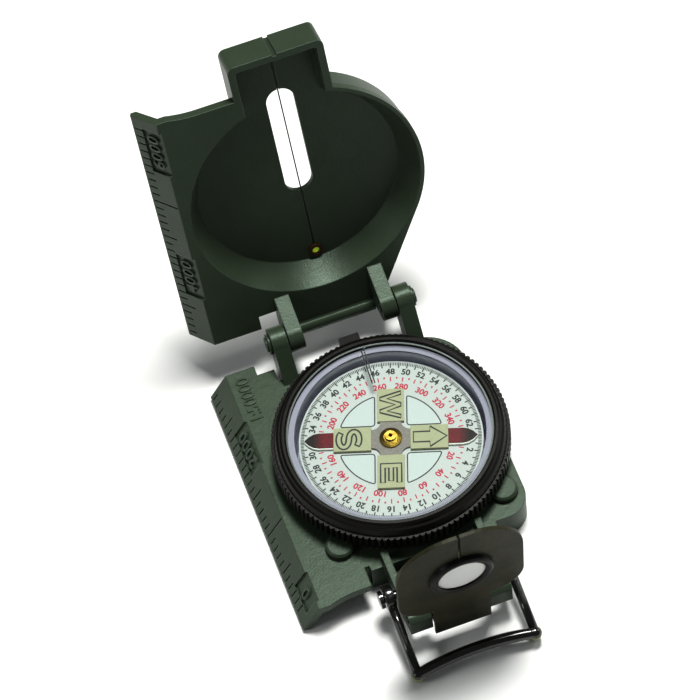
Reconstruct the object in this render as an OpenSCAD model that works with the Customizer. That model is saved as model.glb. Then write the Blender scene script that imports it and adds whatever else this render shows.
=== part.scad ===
// Folding sighting compass with a map ruler, a damped dial under a turning
// bezel, a slotted cover with a sighting wire, a rear lens sight and a thumb
// loop. It stands open on its base: +Y is the line of sight towards the cover,
// +Z is up, and the origin is on the base's underside below the dial's pivot.

/* [Folding] */
// Distance from the dial pivot to the cover's hinge axis
hinge_y = 33; // [31:0.5:40]
// Height of the cover's hinge axis, half of the folded thickness
hinge_z = 13; // [12.6:0.1:17]
// Slope of the opened cover above the table
cover_slope = 72.6; // [45:0.1:95]
// Slope of the raised rear sight, measured from the forward direction
sight_slope = 94; // [80:1:100]
// Droop of the thumb loop below level
loop_droop = 15; // [8:1:20]
// Heading of the dial's north end, measured from +X
dial_heading = -19.5; // [-180:0.5:180]

/* [Base] */
// Half width of the body block under the bezel
body_half_x = 23.4; // [23.2:0.1:28]
// Reach of the body block to the front and the rear
body_half_y = 25.4; // [24.5:0.1:30]
// Radius of the body block's rear corners
body_corner = 5.6; // [3:0.1:8]
// Radius of the body block's front corners
front_corner = 9.5; // [6:0.1:10]
// Height of the base plate's top face
base_top = 7.5; // [7:0.1:9]
// Thickness of the base and cover plates
plate_t = 2.1; // [1.6:0.1:3]
// Side of the ruler plate, where its bevel starts
ruler_x = 28.2; // [27.6:0.1:34]
// Width of the ruler's bevel, seen from above
bevel_w = 4.2; // [3:0.1:6]
// Height of the ruler's bevel
bevel_h = 6.4; // [5:0.1:6.6]
// Rear end of the ruler plate, measured from the pivot
plate_rear = 30.2; // [28:0.1:34]
// Diameter of the two rear screw bosses
boss_d = 6.4; // [5:0.1:7]
// Distance of each back plate screw from the centre lines
boss_xy = 18.9; // [18.6:0.1:19.6]

/* [Hinge] */
// Diameter of the hinge pins
hinge_pin_d = 3; // [2:0.1:3.6]
// Outer radius of the hinge knuckles
knuckle_r = 3.5; // [3:0.1:4]
// Width of one base knuckle
base_knuckle_w = 3.6; // [2.5:0.1:4]
// Width of one cover ear
cover_ear_w = 3.4; // [2.5:0.1:4]
// Distance between the inner faces of the base knuckles
knuckle_gap = 26; // [25:0.1:27]

/* [Cover] */
// Outer radius of the cover's dish at its lip
dish_r = 27.2; // [27:0.1:32]
// Radius of the dish floor
dish_floor_r = 23; // [22:0.1:24]
// Thickness of the dish wall at its lip
dish_lip_t = 0.9; // [0.7:0.1:1.5]
// Thickness of the dish floor
dish_floor_t = 1.1; // [0.9:0.1:1.5]
// Half width of the box that covers the rear sight's neck
box_half_x = 10.8; // [10:0.1:11.4]
// Distance from the hinge axis to the end of the box
box_end = 71; // [70:0.5:78]
// Wall thickness of the box
box_wall = 1.6; // [1.2:0.1:2]
// Width of the sighting slot
slot_w = 6.4; // [4:0.1:8]
// Distance from the hinge axis to the near end of the slot
slot_near = 29.3; // [24:0.1:36]
// Distance from the hinge axis to the far end of the slot
slot_far = 57.3; // [50:0.1:62]
// Diameter of the sighting wire
wire_d = 0.3; // [0.2:0.05:0.5]
// Distance from the hinge axis to the luminous dot
dot_s = 12.2; // [11.8:0.1:18]
// Length of the cover's ruler
cover_ruler_l = 62.3; // [60.5:0.1:66]

/* [Capsule] */
// Outer radius of the dial capsule
capsule_r = 22.4; // [22:0.1:22.6]
// Wall thickness of the capsule
capsule_wall = 0.9; // [0.6:0.1:1.2]
// Height of the capsule's rim
capsule_top = 14.3; // [14:0.1:14.4]
// Thickness of the capsule's crystal
crystal_t = 0.7; // [0.5:0.1:0.8]

/* [Dial] */
// Gap between the dial card's edge and the capsule's wall
card_gap = 1.2; // [0.9:0.1:4]
// Height of the dial card's top face
card_top = 12; // [11:0.1:12.1]
// Thickness of the dial card
card_t = 0.4; // [0.3:0.1:0.8]
// Width of the north and south bar
bar_w = 3.7; // [3:0.1:6]
// Distance from the card's edge in to the outer end of the luminous plates
lume_inset = 7.7; // [5:0.1:9]
// Width of the luminous plates
lume_w = 5.9; // [4:0.1:7]

/* [Bezel] */
// Radius over the bezel's teeth
bezel_r = 26.3; // [25.5:0.1:26.6]
// Number of teeth
bezel_teeth = 120; // [60:1:180]
// Height of the underside of the toothed rim
teeth_bottom = 9.6; // [9.4:0.1:10.5]
// Height of the top of the toothed rim
teeth_top = 13.8; // [12.5:0.1:14.1]
// Height of the bezel's top face
bezel_top = 16.7; // [16.6:0.1:16.8]
// Thickness of the bezel's glass
bezel_glass_t = 0.8; // [0.6:0.1:0.9]

/* [Rear sight] */
// Distance from the dial pivot back to the sight's pin
sight_y = 42; // [41.5:0.1:46]
// Height of the sight's pin
sight_z = 9.3; // [9.2:0.1:9.5]
// Half width of the sight plate
sight_half_x = 14; // [12:0.1:14.6]
// Top end of the sight plate, measured from its pin
sight_top = 36.3; // [33:0.1:37.5]
// Bottom end of the wide part of the sight plate, measured from its pin
sight_shoulder = 5.6; // [5:0.1:8]
// Radius of the sight plate's top corners
sight_crown = 12; // [8:0.5:13]
// Radius of the sight plate's bottom corners
sight_corner = 7; // [3:0.5:9]
// Width of the sight's neck
neck_w = 12.7; // [10:0.1:14]
// Length of the neck's tail below its pin
tail_l = 6; // [4:0.1:6.4]
// Thickness of the sight plate
sight_t = 0.9; // [0.6:0.1:1]
// Distance from the pin to the lens centre
lens_y = 20; // [19:0.1:22]
// Radius of the lens hole
lens_r = 5.7; // [4:0.1:6.5]
// Diameter of the sight's pin
sight_pin_d = 1.6; // [1.2:0.1:2]

/* [Thumb loop] */
// Distance from the dial pivot back to the loop's studs
loop_y = 34.5; // [33.5:0.1:36]
// Height of the loop's studs
loop_z = 8; // [7:0.1:8.4]
// Length of the loop's arms
loop_l = 18; // [17:0.1:24]
// Distance from the centre line to each arm
arm_x = 13.4; // [13.2:0.1:15]
// Diameter of the arms' wire
arm_d = 2; // [1.6:0.1:2.2]
// Diameter of the crossbar
crossbar_d = 2.6; // [2:0.1:3]
// Inward bow of the crossbar
crossbar_bow = 1.3; // [0.5:0.1:2.5]
// Diameter of the loop's studs
stud_d = 2; // [1.5:0.1:2.4]

/* [Hidden] */
$fn = 72;

over = 1;                 // how far a cutting tool passes a face
corner_steps = 12;        // straight steps in a rounded corner
run_fit = 0.05;           // radial clearance of a turning pin
side_gap = 0.3;           // gap between parts that turn beside each other
map_mm_per_km = 20;       // one kilometre on a 1:50000 map
fold_mark_km = 3;         // ruler reading at the hinge axis

// Cover sizes, measured from the hinge axis: s along the cover, n out of its inner face
outer_n = -hinge_z;
inner_n = base_top - hinge_z + 0.1;
dish_floor_n = outer_n + dish_floor_t;
plate_outer_n = inner_n - plate_t;
dish_lip_r = dish_r - dish_lip_t;
dish_draft = 0.6;
box_corner = 1.6;
ear_outer_x = knuckle_gap / 2 - side_gap;
ear_inner_x = ear_outer_x - cover_ear_w;
knuckle_outer_x = knuckle_gap / 2 + base_knuckle_w;
cover_start = 0.4;
front_gap = 0.7;
knuckle_notch = knuckle_r + 0.5;
bar_drop = 4.8;
bar_r = 1.6;
pin_head_t = 1.1;
pin_head_r = hinge_pin_d / 2 + 0.9;

// Base details
plate_front = hinge_y - front_gap;
body_front = hinge_y - bar_drop - 1.6;
bracket_outer_x = 11.6;
bracket_wall = 1.6;
bracket_bottom = 3;
bracket_floor_t = 1.4;
bracket_front = body_half_y - 1;
bracket_rear = sight_y + 1.5;
lug_l = 3;
lug_bottom = bracket_bottom + 2.4;
lug_inner_x = neck_w / 2 + side_gap - 0.05;
wall_top = sight_z + 0.5;
boss_top = teeth_bottom - 0.35;
boss_round = 0.5;
back_t = 1.2;
back_rim = 1.2;
well_r = capsule_r + 0.02;
screw_d = 2.2;
screw_head_d = 4.2;
screw_head_t = 0.9;
screw_l = 6;

// Ruler marks on the bevel
tick_w = 0.34;
tick_depth = 0.3;
tick_margin = 0.5;
short_tick = 2.3;
long_tick = 4;
bevel_len = sqrt(bevel_w * bevel_w + bevel_h * bevel_h);
full_tick = bevel_len - tick_margin - 0.2;
bevel_angle = atan2(bevel_h, bevel_w);
pad_depth = 0.5;
pad_long = 11.6;
pad_short = 7.5;
pad_h = 4.9;
flange_lap = 2.4;
flange_rear_reach = 1.2;
flange_front_reach = 0.9;
web_w = 7;
web_steps = 8;

// Capsule and dial
card_r = capsule_r - capsule_wall - card_gap;
lume_reach = card_r - lume_inset;
cup_floor = back_t + 1;
crystal_rebate = 0.5;
seal_d = 0.5;
post_r = 1;
post_tip = card_top - 0.3;
jewel_r = 0.9;
cap_r = 2.5;
bar_t = 0.7;
plate_start = 4.3;
cap_top = card_top + 1.9;
snap_z = teeth_bottom + 1;
snap_wire_d = 0.5;
bezel_bore = capsule_r + 0.06;
glass_r = bezel_bore + 1;
glass_z = capsule_top + crystal_t + 0.25;
glass_chamfer = 0.5;
bezel_lip_r = glass_r - 0.6;
bezel_shoulder_r = bezel_r - 0.7;
bezel_crown_r = bezel_r - 2.1;
tooth_depth = 0.55;

// Sight details
plate_offset = 1.6;
flange_t = 0.9;
flange_r = 2;
slit_w = 0.5;
ring_outer_r = lens_r + 1.6;
ring_h = 1.2;

// Loop details
eye_r = 2.7;
eye_t = 2.2;
foot_l = 3.2;
foot_r = crossbar_d / 2 + 0.15;
bar_half = 6.5;
stud_head_t = 0.9;
stud_gap = 0.15;

function tangent_angle(px, py, r) = atan2(py, px) - acos(r / norm([px, py]));

// Places its children on the hinge axis with the opened cover's slope
module cover_frame() {
    translate([0, hinge_y, hinge_z]) rotate([cover_slope, 0, 0]) children();
}

// Places its children on the sight's pin: X across, Y up the plate, Z to the eye
module sight_frame() {
    translate([0, -sight_y, sight_z]) rotate([sight_slope, 0, 0]) children();
}

// Places its children on the loop's studs, with the arms along -Y
module loop_frame() {
    translate([0, -loop_y, loop_z]) rotate([loop_droop, 0, 0]) children();
}

// Turns its children to the dial's heading, with north along +X
module dial_frame() {
    rotate([0, 0, dial_heading]) children();
}

// A cylinder along X between two places
module x_rod(x1, x2, r, y = 0, z = 0) {
    translate([min(x1, x2), y, z]) rotate([0, 90, 0]) cylinder(h = abs(x2 - x1), r = r);
}

// A straight round rod between two points
module rod(from, to, d) {
    v = to - from;
    translate(from) rotate([0, acos(v[2] / norm(v)), atan2(v[1], v[0])]) cylinder(h = norm(v), d = d);
}

// An upright ring between two radii
module ring(r_out, r_in, z1, z2) {
    translate([0, 0, z1]) difference() {
        cylinder(h = z2 - z1, r = r_out);
        translate([0, 0, -over]) cylinder(h = z2 - z1 + 2 * over, r = r_in);
    }
}

// A YZ outline given as [along, up] points, extruded along X
module side_profile(x1, x2) {
    translate([x1, 0, 0]) rotate([90, 0, 90]) linear_extrude(height = x2 - x1) children();
}

// The points of a rectangle with round corners, smaller at y1 than at y2
function round_corner(cx, cy, r, from) =
    [for (i = [0:corner_steps]) let (a = from + 90 * i / corner_steps) [cx + r * cos(a), cy + r * sin(a)]];
function rounded_points(half_x, y1, y2, r1, r2) = concat(
    round_corner(-half_x + r1, y1 + r1, r1, 180), round_corner(half_x - r1, y1 + r1, r1, 270),
    round_corner(half_x - r2, y2 - r2, r2, 0), round_corner(-half_x + r2, y2 - r2, r2, 90));

// The ruler's bevelled flange between two places along the plate, with its
// plate's top face at z = 0
module ruler_flange(y1, y2) {
    lap = flange_lap;
    foot = 0.6;
    toe = 1.2;
    translate([0, y2, 0]) rotate([90, 0, 0]) linear_extrude(height = y2 - y1)
        polygon([[-ruler_x, 0], [-ruler_x - bevel_w, -bevel_h], [-ruler_x - bevel_w + foot / 2,
            -bevel_h - foot],
            [-ruler_x - bevel_w + foot / 2 + toe, -bevel_h - foot], [-ruler_x + lap / 3, -plate_t],
            [-ruler_x + lap, -plate_t], [-ruler_x + lap, 0]]);
}

// Places its children on the bevel: X up the slope from its outer edge, Z out of it
module on_bevel(y) {
    translate([-ruler_x - bevel_w, y, -bevel_h]) rotate([0, -bevel_angle, 0]) children();
}

// Engraved ruler marks from one reading to another, in tenths of a kilometre
module ruler_ticks(from, to, origin_y) {
    for (k = [from:to]) {
        tick = k % 10 == 0 ? full_tick : k % 5 == 0 ? long_tick : short_tick;
        on_bevel(origin_y + k * map_mm_per_km / 10)
            translate([tick_margin, -tick_w / 2, -tick_depth]) cube([tick, tick_w, tick_depth + over]);
    }
}

// Cuts the sunk pad that holds a numeral into the upper part of the bevel
module numeral_pad(y, pad_len = pad_long) {
    on_bevel(y) translate([bevel_len - pad_h, -pad_len / 2, -pad_depth])
        cube([pad_h + over, pad_len, pad_depth + over]);
}

// The hollow-curved web between a plate's end at y and its flange, which reaches further
module flange_web(y, reach) {
    x0 = -ruler_x + flange_lap;
    polygon(concat([[-ruler_x, y - reach], [-ruler_x, y + reach]],
        [for (i = [0:web_steps]) let (t = i / web_steps) [x0 + web_w * t, y + reach * pow(1 - t, 2)]],
        [[x0 + web_w, y - reach]]));
}

// ---- Base ----

module base_plate_outline() {
    notch_x1 = knuckle_outer_x + 0.4;
    notch_x2 = notch_x1 + 4.4;
    notch_depth = 2.5;
    difference() {
        union() {
            translate([-ruler_x, -plate_rear]) square([ruler_x - body_corner, plate_rear + plate_front]);
            flange_web(-plate_rear, -flange_rear_reach);
        }
        translate([-notch_x2, plate_front - notch_depth]) square([notch_x2 - notch_x1, notch_depth + over]);
        translate([-notch_x1 - over / 2, body_front]) square([notch_x1, plate_front]);
        translate([-ruler_x + 12.5, -plate_rear - over]) square([ruler_x, plate_rear - body_half_y + over]);
    }
}

module base_block() {
    linear_extrude(height = base_top) polygon(rounded_points(body_half_x, -body_half_y, body_half_y,
        body_corner, front_corner));
    translate([-knuckle_outer_x, 0, 0]) cube([2 * knuckle_outer_x, body_front, base_top]);
    translate([-knuckle_outer_x + 2, -body_half_y - 1.4, 0]) cube([2 * knuckle_outer_x - 4, 3, base_top]);
}

module base_arm(side) {
    x1 = side < 0 ? -knuckle_outer_x : knuckle_gap / 2;
    root_y = body_front - 2;
    side_profile(x1, x1 + base_knuckle_w) {
        translate([hinge_y, hinge_z]) circle(knuckle_r);
        polygon([[root_y, 0.8], [body_front + 1, 0.8], [hinge_y + knuckle_r * 0.94,
            hinge_z - knuckle_r * 0.34],
            [hinge_y - knuckle_r * 0.7, hinge_z + knuckle_r * 0.7], [root_y, base_top]]);
    }
}

module sight_bracket() {
    for (side = [-1, 1]) {
        x1 = side < 0 ? -bracket_outer_x : bracket_outer_x - bracket_wall;
        side_profile(x1, x1 + bracket_wall) polygon([[-bracket_front, bracket_bottom],
            [-loop_y - 3, bracket_bottom], [-bracket_rear, lug_bottom], [-bracket_rear, sight_z],
            [-bracket_rear + lug_l, wall_top], [-bracket_front, wall_top]]);
        lug_x = side < 0 ? -bracket_outer_x : lug_inner_x;
        side_profile(lug_x, lug_x + bracket_outer_x - lug_inner_x) {
            translate([-sight_y, sight_z]) circle(bracket_rear - sight_y);
            polygon([[-bracket_rear, sight_z], [-bracket_rear, lug_bottom],
                [-bracket_rear + lug_l, lug_bottom - 0.8], [-bracket_rear + lug_l, sight_z]]);
        }
    }
    translate([-bracket_outer_x, -loop_y - 1, bracket_bottom])
        cube([2 * bracket_outer_x, loop_y + 1 - bracket_front, bracket_floor_t]);
}

module back_outline(gap) {
    inset = back_rim + gap;
    polygon(rounded_points(body_half_x - inset, -body_half_y + inset, body_half_y - inset,
        body_corner - back_rim, front_corner - back_rim));
}

module base_casting() {
    color("darkolivegreen") difference() {
        union() {
            translate([0, 0, base_top - plate_t]) linear_extrude(height = plate_t) base_plate_outline();
            translate([0, 0, base_top]) ruler_flange(-plate_rear - flange_rear_reach, plate_front);
            base_block();
            sight_bracket();
            for (side = [-1, 1]) base_arm(side);
            for (sx = [-1, 1]) translate([sx * boss_xy, -boss_xy, 0]) {
                cylinder(h = boss_top - boss_round, d = boss_d);
                translate([0, 0, boss_top - boss_round]) cylinder(h = boss_round, d1 = boss_d,
                    d2 = boss_d - 1);
            }
        }
        translate([0, 0, base_top]) ruler_ticks(0, 29, hinge_y - fold_mark_km * map_mm_per_km);
        translate([0, 0, base_top]) {
            numeral_pad(hinge_y - fold_mark_km * map_mm_per_km + 1.5, pad_short);
            numeral_pad(hinge_y - map_mm_per_km + 0.5);
        }
        translate([0, 0, back_t]) cylinder(h = base_top + over, r = well_r);
        translate([0, 0, -over]) linear_extrude(height = back_t + over) back_outline(0);
        for (sx = [-1, 1], sy = [-1, 1]) translate([sx * boss_xy, sy * boss_xy, 0])
            cylinder(h = screw_l + 0.3, d = screw_d);
        x_rod(-knuckle_outer_x - over, knuckle_outer_x + over, hinge_pin_d / 2, hinge_y, hinge_z);
        x_rod(-bracket_outer_x - over, bracket_outer_x + over, sight_pin_d / 2, -sight_y, sight_z);
        x_rod(-bracket_outer_x - over, bracket_outer_x + over, stud_d / 2, -loop_y, loop_z);
    }
}

module back_plate() {
    color("darkslategray") difference() {
        linear_extrude(height = back_t) back_outline(0.05);
        for (sx = [-1, 1], sy = [-1, 1]) translate([sx * boss_xy, sy * boss_xy, -over]) {
            cylinder(h = back_t + 2 * over, d = screw_d + 0.1);
            cylinder(h = screw_head_t + over, d = screw_head_d + 0.1);
        }
    }
}

module back_plate_screws() {
    slot = 0.6;
    color("dimgray") for (sx = [-1, 1], sy = [-1, 1]) translate([sx * boss_xy, sy * boss_xy, 0.1])
        difference() {
        union() {
            cylinder(h = screw_head_t - 0.1, d = screw_head_d);
            cylinder(h = screw_l, d = screw_d);
        }
        translate([-screw_head_d, -slot / 2, -over]) cube([2 * screw_head_d, slot, over + 0.4]);
    }
}

// ---- Capsule ----

module capsule_cup() {
    color("lavender") difference() {
        translate([0, 0, back_t]) cylinder(h = capsule_top + crystal_rebate - back_t, r = capsule_r);
        translate([0, 0, cup_floor]) cylinder(h = capsule_top, r = capsule_r - capsule_wall);
        translate([0, 0, capsule_top - 0.6]) cylinder(h = 3, r = capsule_r - capsule_wall / 2);
        translate([0, 0, cup_floor - 0.6]) cylinder(h = 2, r = post_r);
        translate([0, 0, snap_z]) rotate_extrude() translate([capsule_r, 0]) circle(d = snap_wire_d);
    }
}

module capsule_crystal() {
    color("lightcyan", 0.4) translate([0, 0, capsule_top])
        cylinder(h = crystal_t, r = capsule_r - capsule_wall / 2 - 0.02);
}

module crystal_seal() {
    color("black") ring(capsule_r - capsule_wall / 2 - 0.02, capsule_r - capsule_wall - seal_d / 2,
        capsule_top - 0.6, capsule_top);
}

module pivot_post() {
    color("gold") translate([0, 0, cup_floor - 0.6]) {
        cylinder(h = post_tip - cup_floor - 1, r = post_r);
        translate([0, 0, post_tip - cup_floor - 1]) cylinder(h = 1.6, r1 = post_r * 0.55, r2 = 0.1);
    }
}

module bezel_snap_ring() {
    gap_angle = 14;
    color("silver") translate([0, 0, snap_z]) rotate([0, 0, 200]) rotate_extrude(angle = 360 - gap_angle)
        translate([capsule_r, 0]) circle(d = snap_wire_d);
}

// ---- Dial ----

module dial_card() {
    color("white") dial_frame() translate([0, 0, card_top - card_t]) difference() {
        cylinder(h = card_t, r = card_r);
        translate([0, 0, -over]) cylinder(h = card_t + 2 * over, r = jewel_r);
    }
}

module dial_magnet() {
    magnet_l = 26;
    magnet_w = 3.4;
    magnet_t = 1.2;
    color("dimgray") dial_frame() translate([0, 0, card_top - card_t - magnet_t]) difference() {
        translate([-magnet_l / 2, -magnet_w / 2, 0]) cube([magnet_l, magnet_w, magnet_t]);
        translate([0, 0, -over]) cylinder(h = magnet_t + 2 * over, r = jewel_r);
    }
}

module needle_bar() {
    tip_r = card_r - 1.3;
    tip = [[3.2, 0.5], [2, 0.44], [0.9, 0.26], [0, 0]];
    edge = [for (p = tip) [tip_r - p[0], p[1] * bar_w]];
    color("firebrick") dial_frame() translate([0, 0, card_top]) for (side = [0, 180]) rotate([0, 0, side])
        linear_extrude(height = bar_t) polygon(concat([[lume_reach, -bar_w / 2]], [for (p = edge)
            [p[0], -p[1]]],
            [for (i = [2:-1:0]) edge[i]], [[lume_reach, bar_w / 2]]));
}

module luminous_plates() {
    color("palegoldenrod") dial_frame() translate([0, 0, card_top]) for (a = [0, 90, 180, 270])
        rotate([0, 0, a]) translate([plate_start, -lume_w / 2, 0])
            cube([lume_reach - plate_start, lume_w, bar_t]);
}

module centre_plate() {
    half = plate_start - 0.02;
    bite_r = 2;
    color("gray", 0.7) dial_frame() translate([0, 0, card_top]) linear_extrude(height = bar_t - 0.15)
        difference() {
        square(2 * half, center = true);
        for (a = [45:90:315]) rotate(a) translate([half * sqrt(2), 0]) circle(bite_r);
        circle(cap_r);
    }
}

module jewel_cap() {
    color("goldenrod") translate([0, 0, card_top]) difference() {
        union() {
            cylinder(h = 0.9, r = cap_r);
            translate([0, 0, 0.9]) cylinder(h = 0.4, r1 = cap_r, r2 = cap_r * 0.62);
            cylinder(h = cap_top - card_top, r = cap_r * 0.5);
        }
        translate([0, 0, -over]) cylinder(h = over + 1, r = jewel_r);
        translate([0, 0, -over]) cylinder(h = 4, r = 0.45);
    }
}

module jewel_bearing() {
    cup_depth = 0.5;
    color("red") translate([0, 0, card_top - card_t]) difference() {
        cylinder(h = card_t + 1, r = jewel_r);
        translate([0, 0, -over]) cylinder(h = over + card_t - 0.1 + cup_depth, r = 0.65);
        translate([0, 0, card_t - 0.1 + cup_depth - 0.01]) cylinder(h = 0.3, r1 = 0.35, r2 = 0.15);
    }
}

// ---- Bezel ----

module tooth_outline() {
    root = bezel_r - tooth_depth;
    step = 360 / bezel_teeth;
    polygon([for (i = [0:bezel_teeth - 1], c = [[0, root], [0.28, bezel_r], [0.72, bezel_r]])
        let (a = (i + c[0]) * step) [c[1] * cos(a), c[1] * sin(a)]]);
}

module bezel_ring() {
    lug_w = 4.6;
    lug_reach = 1.4;
    lug_bottom_z = teeth_bottom + 0.6;
    glass_seat = glass_z + bezel_glass_t;
    color([0.07, 0.06, 0.05]) difference() {
        union() {
            translate([0, 0, teeth_bottom + 0.5]) linear_extrude(height = teeth_top - teeth_bottom - 0.5)
                tooth_outline();
            translate([0, 0, teeth_bottom]) cylinder(h = 0.8, r = bezel_r - tooth_depth - 0.2);
            translate([-lug_w / 2, bezel_r - 2, lug_bottom_z])
                cube([lug_w, 2 + lug_reach, teeth_top + 0.5 - lug_bottom_z]);
            rotate_extrude() polygon([[bezel_bore - 1, teeth_top - 0.1], [bezel_shoulder_r, teeth_top - 0.1],
                [bezel_shoulder_r - 0.15, teeth_top + 0.6], [bezel_shoulder_r - 0.6, teeth_top + 1.8],
                [bezel_shoulder_r - 1.1, bezel_top - 0.9], [bezel_crown_r, bezel_top - 0.3],
                [bezel_crown_r - 0.5, bezel_top], [bezel_lip_r + 0.25, bezel_top],
                [bezel_lip_r, bezel_top - 0.25], [bezel_lip_r, glass_seat], [bezel_bore - 1, glass_seat]]);
        }
        translate([0, 0, teeth_bottom - over]) cylinder(h = glass_seat - teeth_bottom + over, r = bezel_bore);
        translate([0, 0, glass_z]) cylinder(h = glass_seat - glass_z, r = glass_r);
        ring(bezel_bore + 0.4, bezel_bore - over, snap_z - 0.4, snap_z + 0.4);
    }
}

module bezel_glass() {
    dome_r = bezel_lip_r - 0.05;
    dome_h = bezel_top - glass_z - 0.15;
    color("lightcyan", 0.3) translate([0, 0, glass_z]) {
        cylinder(h = bezel_glass_t, r = glass_r);
        cylinder(h = dome_h - glass_chamfer, r = dome_r);
        translate([0, 0, dome_h - glass_chamfer])
            cylinder(h = glass_chamfer, r1 = dome_r, r2 = dome_r - glass_chamfer);
    }
}

module bezel_marker() {
    line_w = 0.26;
    line_gap = 0.6;
    line_in = 13.2;
    line_t = 0.12;
    color("black") rotate([0, 0, 86 - 90]) translate([0, 0, glass_z - line_t]) for (sx = [-1, 1])
        translate([sx * line_gap / 2 - line_w / 2, line_in, 0])
            cube([line_w, bezel_lip_r - 0.4 - line_in, line_t]);
}

// ---- Cover ----

module cover_plate_outline() {
    flank_x = ear_outer_x;
    touch = tangent_angle(flank_x, cover_start - hinge_y, dish_r)
        + 2 * acos(dish_r / norm([flank_x, hinge_y - cover_start]));
    translate([-ruler_x, cover_start]) square([ruler_x - knuckle_outer_x - 0.4, cover_ruler_l - cover_start]);
    translate([-ruler_x, knuckle_notch]) square([ruler_x, cover_ruler_l - knuckle_notch]);
    flange_web(cover_ruler_l, flange_front_reach);
    translate([0, hinge_y]) circle(dish_r);
    translate([-ear_outer_x + 0.1, -bar_drop + bar_r]) square([2 * ear_outer_x - 0.2, hinge_y / 2]);
    polygon([[0, cover_start], [flank_x, cover_start],
        [dish_r * cos(touch), hinge_y + dish_r * sin(touch)], [0, hinge_y]]);
}

module cover_ear(side) {
    x1 = side < 0 ? -ear_outer_x : ear_inner_x;
    foot = 7.6;
    side_profile(x1, x1 + cover_ear_w) {
        circle(knuckle_r - 0.1);
        polygon([[knuckle_r * 0.72, knuckle_r * 0.66], [foot, inner_n], [foot, plate_outer_n],
            [bar_r - bar_drop, plate_outer_n], [bar_r - bar_drop, inner_n], [-knuckle_r * 0.88,
                -knuckle_r * 0.4]]);
    }
}

module slot_cut() {
    r = slot_w / 2;
    for (y = [slot_near + r, slot_far - r]) translate([0, y, outer_n - over])
        cylinder(h = 3 * over + dish_floor_t, r = r);
    translate([-r, slot_near + r, outer_n - over])
        cube([slot_w, slot_far - slot_near - slot_w, 3 * over + dish_floor_t]);
}

module cover_casting() {
    depth = inner_n - outer_n;
    groove = wire_d + 0.1;
    sight_groove_w = 1;
    sight_groove_d = 0.5;
    color("darkolivegreen") cover_frame() difference() {
        union() {
            translate([0, 0, plate_outer_n]) linear_extrude(height = plate_t) cover_plate_outline();
            translate([0, hinge_y, outer_n]) cylinder(h = depth, r1 = dish_r - dish_draft, r2 = dish_r);
            translate([0, 0, outer_n]) linear_extrude(height = depth)
                polygon(rounded_points(box_half_x, hinge_y, box_end, 0.1, box_corner));
            translate([0, 0, inner_n]) ruler_flange(cover_start + 0.1, cover_ruler_l + flange_front_reach);
            side_profile(-ear_inner_x, ear_inner_x) {
                translate([bar_r - bar_drop, plate_outer_n + bar_r]) circle(bar_r);
                polygon([[bar_r - bar_drop, plate_outer_n], [cover_start, plate_outer_n],
                    [cover_start, plate_outer_n + 1], [bar_r - bar_drop, plate_outer_n + 2 * bar_r]]);
            }
            for (side = [-1, 1]) cover_ear(side);
        }
        translate([0, hinge_y, dish_floor_n])
            cylinder(h = inner_n - dish_floor_n + 0.001, r1 = dish_floor_r, r2 = dish_lip_r);
        translate([0, hinge_y, inner_n]) cylinder(h = over, r = dish_lip_r);
        translate([0, 0, dish_floor_n]) linear_extrude(height = depth)
            polygon(rounded_points(box_half_x - box_wall, hinge_y, box_end - box_wall, 0.1, box_corner / 2));
        slot_cut();
        translate([-groove / 2, dot_s, dish_floor_n - groove])
            cube([groove, box_end - box_wall - dot_s, groove + over]);
        translate([0, dot_s, outer_n + 0.3]) cylinder(h = depth, r = 1.5);
        translate([-sight_groove_w / 2, box_end - sight_groove_d, outer_n - over])
            cube([sight_groove_w, 2 * sight_groove_d, depth + 2 * over]);
        translate([0, 0, inner_n]) ruler_ticks(1, 30, 0);
        translate([0, 0, inner_n]) for (y = [map_mm_per_km - 0.4, cover_ruler_l - 7.6]) numeral_pad(y);
        x_rod(-ear_outer_x - over, ear_outer_x + over, hinge_pin_d / 2 + run_fit);
        translate([0, box_end - box_wall - 1.6, outer_n + 0.3]) cylinder(h = dish_floor_t, r = 0.8);
    }
}

module sighting_wire() {
    color("black") cover_frame() translate([0, dot_s + 1.5, dish_floor_n - wire_d / 2 - 0.05])
        rotate([-90, 0, 0])
        cylinder(h = box_end - box_wall - 1.6 - 0.8 - dot_s - 1.5, d = wire_d, $fn = 16);
}

module wire_plug() {
    color("dimgray") cover_frame() translate([0, box_end - box_wall - 1.6, outer_n + 0.3])
        cylinder(h = dish_floor_t - 0.2, r = 0.8);
}

module dot_ring() {
    color("saddlebrown") cover_frame() translate([0, dot_s, 0])
        ring(1.5, 0.85, outer_n + 0.3, dish_floor_n + 0.7);
}

module luminous_dot() {
    color("greenyellow") cover_frame() translate([0, dot_s, outer_n + 0.3]) {
        cylinder(h = dish_floor_t, r = 0.85);
        translate([0, 0, dish_floor_t]) cylinder(h = 0.25, r1 = 0.85, r2 = 0.5);
    }
}

module hinge_pin(side) {
    color("darkslategray") {
        x_rod(side * (ear_inner_x - 0.2), side * knuckle_outer_x, hinge_pin_d / 2, hinge_y, hinge_z);
        x_rod(side * knuckle_outer_x, side * (knuckle_outer_x + pin_head_t * 0.6), pin_head_r, hinge_y,
            hinge_z);
        x_rod(side * knuckle_outer_x, side * (knuckle_outer_x + pin_head_t), pin_head_r - 0.7, hinge_y,
            hinge_z);
    }
}

module hinge_pin_left() { hinge_pin(-1); }

module hinge_pin_right() { hinge_pin(1); }

// ---- Rear sight ----

module sight_outline() {
    polygon(rounded_points(sight_half_x, sight_shoulder, sight_top, sight_corner, sight_crown));
    translate([-neck_w / 2, -tail_l]) square([neck_w, tail_l + sight_shoulder + 3]);
}

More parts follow.
